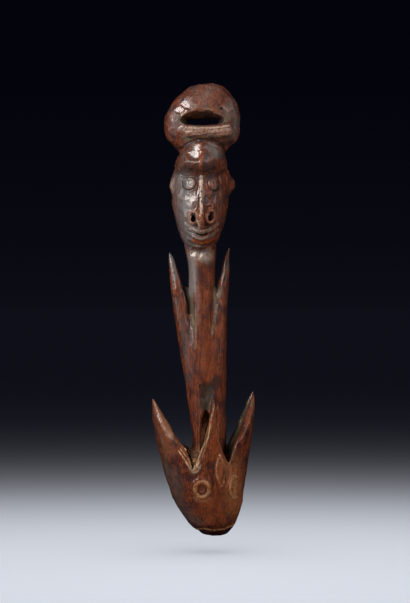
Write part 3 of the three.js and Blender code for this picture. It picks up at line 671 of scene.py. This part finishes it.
def shelter(figure, places, normals):
    # 0 on an open face, 1 deep in a hollow
    chance = np.random.default_rng(wearAndShade["seed"])
    picked = chance.choice(len(places), wearAndShade["samples"], replace=False)
    rays = chance.normal(size=(wearAndShade["rays"], 3))
    rays /= np.linalg.norm(rays, axis=1)[:, None]
    shape = bmesh.new()
    shape.from_mesh(figure.data)
    around = BVHTree.FromBMesh(shape)
    shape.free()
    tree = KDTree(len(picked))
    hidden = np.zeros(len(picked))
    for number, index in enumerate(picked):
        tree.insert(places[index], number)
        start = Vector((places[index] + normals[index]) * millimetre)
        for ray in rays:
            outwards = Vector(normals[index] * 1.05 + ray)  # never into the wood under the point
            hit = around.ray_cast(start, outwards, wearAndShade["reach"] * millimetre)
            hidden[number] += hit[0] is not None
    tree.balance()
    found = np.array([[hit[1] for hit in tree.find_n(place, 4)] for place in places])
    return hidden[found].mean(axis=1) / wearAndShade["rays"]


def wearAndShadeByForm(figure, places, normals, links, patinaAndPaintedLight):
    standsOut = ((places - spread(places, links, 0.5, wearAndShade["formRounds"])) * normals).sum(axis=1)
    standsOut = spread(standsOut, links, 0.5, wearAndShade["softRounds"])
    darkeningShare = 1 - patinaAndPaintedLight["sparedDarkening"]
    edge = smoothStep((standsOut - wearAndShade["edge"][0]) / (wearAndShade["edge"][1] - wearAndShade["edge"][0]))
    crease = smoothStep((-standsOut - wearAndShade["crease"][0]) / (wearAndShade["crease"][1] - wearAndShade["crease"][0]))
    # grime and painted shade: creases and sheltered hollows are darkened
    hollow = spread(shelter(figure, places, normals), links, 0.5, wearAndShade["hollowRounds"]) * darkeningShare
    filled = smoothStep((hollow - wearAndShade["hollow"][0]) / wearAndShade["hollow"][1])
    shadeAndDirt = np.maximum(wearAndShade["creaseShadeAndDirt"] * (crease * darkeningShare), wearAndShade["hollowShadeAndDirt"] * filled)
    patinaAndPaintedLight["worn"] = np.maximum(patinaAndPaintedLight["worn"], wearAndShade["edgeWear"] * edge * (1 - hollow))
    patinaAndPaintedLight["shadeAndDirt"] = np.maximum(patinaAndPaintedLight["shadeAndDirt"], shadeAndDirt)


def build():
    figure, crisp = fineCopy(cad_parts["hook_figure"])
    print("fine copy:", len(figure.data.vertices), "points")
    places = readPlaces(figure.data)
    links = readLinks(figure.data)
    places = swell(meltForms(places, links))
    writePlaces(figure.data, places)
    places = knifeCuts(places, readNormals(figure.data), links, 1 - crisp)
    writePlaces(figure.data, places)
    places = cutFlats(places, readNormals(figure.data))
    writePlaces(figure.data, places)
    print("knife cuts made")
    patinaAndPaintedLight = {layer: np.zeros(len(places)) for layer in (*layers, "sparedDarkening")}
    places = carveLines(places, readNormals(figure.data), patinaAndPaintedLight)
    writePlaces(figure.data, places)
    wearAndShadeByForm(figure, places, readNormals(figure.data), links, patinaAndPaintedLight)
    for layer in layers:
        figure.data.attributes.new(layer, "FLOAT", "POINT").data.foreach_set("value", patinaAndPaintedLight[layer])
    print("small carving and wear laid on")
    lighter = figure.modifiers.new("lighter", "DECIMATE")
    lighter.ratio = billet["triangles"] / (2 * len(figure.data.polygons))  # the even mesh is all quads
    applyModifiers(figure)
    figure.data.shade_smooth()
    print("figure:", sum(len(face.vertices) - 2 for face in figure.data.polygons), "triangles")
    return figure


figure = build()


# The wood
def linear(hexColour):
    # sRGB hex to Blender's linear colour
    parts = [int(hexColour[start:start + 2], 16) / 255 for start in (1, 3, 5)]
    return [part / 12.92 if part <= 0.04045 else ((part + 0.055) / 1.055) ** 2.4 for part in parts] + [1]


def addNode(tree, kind, settings=None, links=None):
    node = tree.nodes.new(kind)
    for name, value in (settings or {}).items():
        if hasattr(node, name):
            setattr(node, name, value)
        else:
            node.inputs[name].default_value = value
    for name, source in (links or {}).items():
        tree.links.new(source, node.inputs[name])
    return node


def ramp(tree, value, low, high):
    # 0 below low, 1 above high, smooth between
    node = addNode(tree, "ShaderNodeMapRange", {"interpolation_type": "SMOOTHSTEP"}, {"Value": value})
    node.inputs["From Min"].default_value = low
    node.inputs["From Max"].default_value = high
    return node.outputs["Result"]


def calculate(tree, operation, first, second):
    node = addNode(tree, "ShaderNodeMath", {"operation": operation})
    for socket, value in zip(node.inputs, (first, second)):
        if isinstance(value, (int, float)):
            socket.default_value = value
        else:
            tree.links.new(value, socket)
    return node.outputs["Value"]


def blend(tree, factor, first, second):
    node = addNode(tree, "ShaderNodeMix", {"data_type": "RGBA"}, {"Factor": factor})
    for name, colour in (("A", first), ("B", second)):
        if isinstance(colour, str):
            node.inputs[name].default_value = linear(colour)
        else:
            tree.links.new(colour, node.inputs[name])
    return node.outputs["Result"]


def grain(tree, places, size, along, detail):
    # noise with features of the size in mm, drawn out along the billet
    stretched = addNode(tree, "ShaderNodeMapping", {"Scale": (1, 1, 1 / along)}, {"Vector": places})
    node = addNode(tree, "ShaderNodeTexNoise", {"Detail": detail}, {"Vector": stretched.outputs["Vector"]})
    node.inputs["Scale"].default_value = 1 / (size * millimetre)
    return node.outputs["Fac"]


def scaled(tree, value, share):
    return calculate(tree, "MULTIPLY", value, share)


def mixed(tree, first, second):
    # half of each
    return calculate(tree, "ADD", scaled(tree, first, 0.5), scaled(tree, second, 0.5))


def broken(tree, layer, noise):
    # a layer lies whole where it is thick and in soft patches where it is thin
    spots = ramp(tree, calculate(tree, "ADD", layer, noise), 0.5, 1.05)
    return calculate(tree, "MULTIPLY", layer, spots)


wood = {
    "dark": "#372426",    # the skin of soot and oil over the grain
    "heart": "#54291c",   # dark and light wood of the grain
    "light": "#84462c",
    "warm": "#844025",    # where handling keeps the red wood bright
    "gold": "#ad6a30",    # flecks in the warm places
    "soot": "#1f1613",    # in specks, patches and open pores
    "ash": "#57513f",     # dry grey-green dust in the cuts
    "paintedSheen": "#6d6b6b",   # painted sheen, the grey of a soft reflection
    "worn": "#ccb3a0",    # bare wood on the edges and painted highlights, greyed on the head
    "yellow": "#cda57a",  # and yellower at the crown
    "shadeAndDirt": "#0f0a08",   # old grease and dirt with painted shade, in hollows, creases and undersides
}

# How much of the wood under it each layer hides where it is thickest, and where the bare wood turns grey
cover = {
    "dark": 0.8,
    "soot": 0.55,
    "warm": 0.85,
    "gold": 0.6,
    "pore": 0.45,
    "yellowing": (-280, -160),  # mm, heights between which the bare wood turns from yellow to grey
}

# Patterns of the wood: size in mm, how many times longer they are along the billet, and octaves of detail
patterns = {
    "fibre": (1.1, 14, 5),   # bundles of fibres, about 0.3 mm wide on the real wood and drawn wider to show
    "patch": (7, 2.2, 4),    # worn and sooty patches the size of a fingertip
    "mottle": (14, 1.8, 4),  # and of a thumb
    "fleck": (2.4, 1.4, 3),
    "speck": (1.2, 1.3, 2),
    "pore": (1.6, 2.5, 2),   # open pores, about 0.2 mm wide on the real wood and drawn wider to show
    "dent": (6, 2, 4),
}

# The soft gloss of wood that hands have polished
polish = {
    "roughness": (0.22, 0.38),  # from fleck to fleck
    "dry": 0.4,             # roughness that dust and painted sheen, grime and painted shade, and bare fibres and painted highlights add
    "coat": 0.5,            # the oily skin, thinner where dust lies and under the grime and painted shade
    "coatRoughness": 0.19,
    "ior": 1.5,             # of wood and oil
    "dents": 0.22,          # mm, depths of what the light catches
    "pits": 0.07,
    "fibres": 0.1,
}


def handPolishedHardwood():
    # hand-polished hardwood: long grain seen through a dark skin of soot and oil, with a soft gloss, and
    # painted sheen, highlights and shade
    material = bpy.data.materials.new("hand_polished_hardwood")
    material.use_nodes = True
    tree = material.node_tree
    shader = tree.nodes["Principled BSDF"]
    places = addNode(tree, "ShaderNodeTexCoord").outputs["Object"]
    laid = {layer: addNode(tree, "ShaderNodeAttribute", {"attribute_name": layer}) for layer in layers}
    patinaAndPaintedLight = {layer: node.outputs["Fac"] for layer, node in laid.items()}
    seen = {name: grain(tree, places, *pattern) for name, pattern in patterns.items()}

    grained = blend(tree, ramp(tree, seen["fibre"], 0.38, 0.62), wood["heart"], wood["light"])
    skin = scaled(tree, ramp(tree, seen["patch"], 0.47, 0.62), cover["dark"])
    skinned = blend(tree, skin, grained, wood["dark"])
    stains = ramp(tree, seen["mottle"], 0.5, 0.8)
    soot = calculate(tree, "MAXIMUM", stains, ramp(tree, seen["fleck"], 0.55, 0.7))
    sooty = blend(tree, scaled(tree, soot, cover["soot"]), skinned, wood["soot"])
    dusty = blend(tree, broken(tree, patinaAndPaintedLight["ash"], seen["fleck"]), sooty, wood["ash"])
    # painted sheen: a soft grey reflection laid into the colour
    sheenShare = broken(tree, patinaAndPaintedLight["paintedSheen"], mixed(tree, seen["patch"], seen["speck"]))
    withPaintedSheen = blend(tree, sheenShare, dusty, wood["paintedSheen"])
    handled = broken(tree, patinaAndPaintedLight["warm"], mixed(tree, seen["mottle"], seen["speck"]))
    warmth = scaled(tree, handled, cover["warm"])
    warmed = blend(tree, warmth, withPaintedSheen, wood["warm"])
    golden = calculate(tree, "MULTIPLY", warmth, ramp(tree, seen["speck"], 0.5, 0.66))
    gilded = blend(tree, scaled(tree, golden, cover["gold"]), warmed, wood["gold"])
    pores = scaled(tree, ramp(tree, seen["pore"], 0.55, 0.7), cover["pore"])
    pitted = blend(tree, pores, gilded, wood["soot"])
    # pale wear, and painted highlights where the layer marks them
    wearAndHighlightShare = calculate(tree, "MULTIPLY", patinaAndPaintedLight["worn"], ramp(tree, seen["fleck"], 0.3, 0.55))
    height = addNode(tree, "ShaderNodeSeparateXYZ", links={"Vector": places}).outputs["Z"]
    greying = ramp(tree, height, *(level * millimetre for level in cover["yellowing"]))
    withWearAndHighlight = blend(tree, wearAndHighlightShare, pitted, blend(tree, greying, wood["yellow"], wood["worn"]))
    # grime and painted shade darken the hollows, creases and undersides
    tree.links.new(blend(tree, patinaAndPaintedLight["shadeAndDirt"], withWearAndHighlight, wood["shadeAndDirt"]), shader.inputs["Base Color"])

    dustAndSheen = calculate(tree, "MAXIMUM", patinaAndPaintedLight["ash"], scaled(tree, patinaAndPaintedLight["paintedSheen"], 0.3))
    dryness = calculate(tree, "MAXIMUM", calculate(tree, "MAXIMUM", patinaAndPaintedLight["shadeAndDirt"], dustAndSheen), wearAndHighlightShare)
    smoothest, dullest = polish["roughness"]
    settings = {"From Min": 0.3, "From Max": 0.7, "To Min": smoothest, "To Max": dullest}
    gloss = addNode(tree, "ShaderNodeMapRange", settings, {"Value": seen["fleck"]})
    rough = calculate(tree, "ADD", gloss.outputs["Result"], scaled(tree, dryness, polish["dry"]))
    tree.links.new(rough, shader.inputs["Roughness"])
    covered = calculate(tree, "MAXIMUM", patinaAndPaintedLight["ash"], patinaAndPaintedLight["shadeAndDirt"])
    coat = scaled(tree, calculate(tree, "SUBTRACT", 1, covered), polish["coat"])
    tree.links.new(coat, shader.inputs["Coat Weight"])

    dents = addNode(tree, "ShaderNodeBump", {"Strength": 1, "Distance": polish["dents"] * millimetre})
    tree.links.new(seen["dent"], dents.inputs["Height"])
    pits = addNode(tree, "ShaderNodeBump", {"Strength": 1, "Distance": polish["pits"] * millimetre})
    tree.links.new(ramp(tree, seen["fleck"], 0.2, 0.6), pits.inputs["Height"])
    tree.links.new(dents.outputs["Normal"], pits.inputs["Normal"])
    fibres = addNode(tree, "ShaderNodeBump", {"Strength": 1, "Distance": polish["fibres"] * millimetre})
    tree.links.new(seen["fibre"], fibres.inputs["Height"])
    tree.links.new(pits.outputs["Normal"], fibres.inputs["Normal"])
    tree.links.new(fibres.outputs["Normal"], shader.inputs["Normal"])
    tree.links.new(pits.outputs["Normal"], shader.inputs["Coat Normal"])
    shader.inputs["IOR"].default_value = polish["ior"]
    shader.inputs["Coat Roughness"].default_value = polish["coatRoughness"]
    shader.inputs["Coat IOR"].default_value = polish["ior"]
    return material


figure.data.materials.clear()
figure.data.materials.append(handPolishedHardwood())
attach(figure, "root")
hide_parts("hook_figure")


# The stage
stage = {
    "floorLevel": -480,         # mm, just under the lowest point of the hanging figure
    "floorSize": 400000,        # mm, so far out that its edge is lost in the dark
    "floorColour": "#d9dbdf",
    # the dark room's colour by height, as (height, colour), with 0 at eye level and 1 overhead
    "sky": [(0, "#0c0d15"), (0.03, "#090a11"), (0.1, "#04040c"), (0.3, "#04040c"), (0.7, "#171721")],
    "aim": (0, 0, -0.2),        # m, the middle of the figure, where its lights point
    "floorAim": (0, -0.3, -1),  # m, straight under the floor's own light
}


def addFloor():
    shape = bmesh.new()
    bmesh.ops.create_grid(shape, x_segments=8, y_segments=8, size=stage["floorSize"] / 2 * millimetre)
    bmesh.ops.translate(shape, verts=shape.verts, vec=(0, 0, stage["floorLevel"] * millimetre))
    mesh = bpy.data.meshes.new("floor")
    shape.to_mesh(mesh)
    shape.free()
    floor = bpy.data.objects.new("floor", mesh)
    bpy.context.collection.objects.link(floor)
    material = bpy.data.materials.new("matt_studio_paper")
    material.use_nodes = True
    shader = material.node_tree.nodes["Principled BSDF"]
    shader.inputs["Base Color"].default_value = linear(stage["floorColour"])
    shader.inputs["Roughness"].default_value = 0.9
    shader.inputs["Specular IOR Level"].default_value = 0
    mesh.materials.append(material)
    floor.visible_diffuse = False  # the floor throws no light back, so the figure's underside stays dark
    floor.visible_glossy = False
    return floor


def addRoom():
    world = bpy.data.worlds.new("dark_room")
    bpy.context.scene.world = world
    world.use_nodes = True
    tree = world.node_tree
    direction = addNode(tree, "ShaderNodeTexCoord")
    parts = addNode(tree, "ShaderNodeSeparateXYZ", links={"Vector": direction.outputs["Generated"]})
    sky = addNode(tree, "ShaderNodeValToRGB", links={"Fac": parts.outputs["Z"]})
    for number, (height, colour) in enumerate(stage["sky"]):
        if number > 1:
            sky.color_ramp.elements.new(height)
        sky.color_ramp.elements[number].position = height
        sky.color_ramp.elements[number].color = linear(colour)
    tree.links.new(sky.outputs["Color"], tree.nodes["Background"].inputs["Color"])


lights = {  # place in m, watts, width and height in m, colour, and whether it shows as a gleam
    "key_softbox": {"at": (-1.25, -1.2, 0.75), "power": 28, "size": (0.6, 0.6), "colour": "#fff8f2"},
    "front_softbox": {
        "at": (-0.2, -2.2, -0.18), "power": 12, "size": (0.9, 0.5), "colour": "#fff4ea", "gleam": False,
    },
    "fill_softbox": {
        "at": (1.35, -1.15, 0.05), "power": 8, "size": (0.9, 1.1), "colour": "#fff4ea", "gleam": False,
    },
    "right_softbox": {"at": (1.3, -1.2, 0.6), "power": 2.6, "size": (0.7, 0.6), "colour": "#f6f6ff"},
    "left_softbox": {"at": (-1.45, -0.75, 0.14), "power": 3.9, "size": (0.7, 0.52), "colour": "#f4f6ff"},
    "side_softbox": {
        "at": (2, 0.35, 0.1), "power": 6, "size": (0.8, 1), "colour": "#fff4ea", "gleam": False,
    },
    "back_left_softbox": {
        "at": (-0.7, 1.9, 0.5), "power": 8, "size": (0.8, 0.8), "colour": "#fff8f2", "gleam": False,
    },
    "back_right_softbox": {
        "at": (0.8, 1.9, 0.3), "power": 8, "size": (0.8, 0.8), "colour": "#fff8f2", "gleam": False,
    },
}
floorLight = {"at": (0, -0.3, 0.12), "power": 12.6, "size": (1.6, 1.6), "colour": "#f6f9ff"}


def addLight(name, values, aim, lit):
    light = bpy.data.lights.new(name, "AREA")
    light.shape = "RECTANGLE"
    light.size, light.size_y = values["size"]
    light.energy = values["power"]
    light.color = linear(values["colour"])[:3]
    lamp = bpy.data.objects.new(name, light)
    lamp.location = values["at"]
    lamp.rotation_euler = (Vector(aim) - lamp.location).to_track_quat("-Z", "Y").to_euler()
    lamp.visible_camera = False
    lamp.visible_glossy = values.get("gleam", True)
    bpy.context.collection.objects.link(lamp)
    receivers = bpy.data.collections.new(name + "_lights")
    receivers.objects.link(lit)
    lamp.light_linking.receiver_collection = receivers
    return lamp


def addLights(floor):
    for name, values in lights.items():
        addLight(name, values, stage["aim"], figure)
    lamp = addLight("floor_softbox", floorLight, stage["floorAim"], floor)
    # nothing but the floor itself stands in this light's way
    lamp.light_linking.blocker_collection = lamp.light_linking.receiver_collection


camera = {
    "distance": 2.4,        # m in front of the figure, level with the middle of the picture
    "middle": (2.2, -201),  # mm, the point of the figure in the middle of the picture
    "lens": 128.7,          # mm: 671.5 mm of height at the figure fill the picture
    "sensor": 36,           # mm, the longer side of the picture in the camera
    "farthest": 100,        # m that it sees
}


def addCamera():
    view = bpy.data.cameras.new("camera")
    view.lens = camera["lens"]
    view.sensor_width = camera["sensor"]
    view.clip_end = camera["farthest"]
    holder = bpy.data.objects.new("camera", view)
    across, level = camera["middle"]
    holder.location = (across * millimetre, -camera["distance"], level * millimetre)
    holder.rotation_euler = (math.pi / 2, 0, 0)
    bpy.context.collection.objects.link(holder)
    bpy.context.scene.camera = holder


floor = addFloor()
addRoom()
addLights(floor)
addCamera()
print("stage, lights and camera set")

bpy.context.scene.view_settings.view_transform = "Standard"
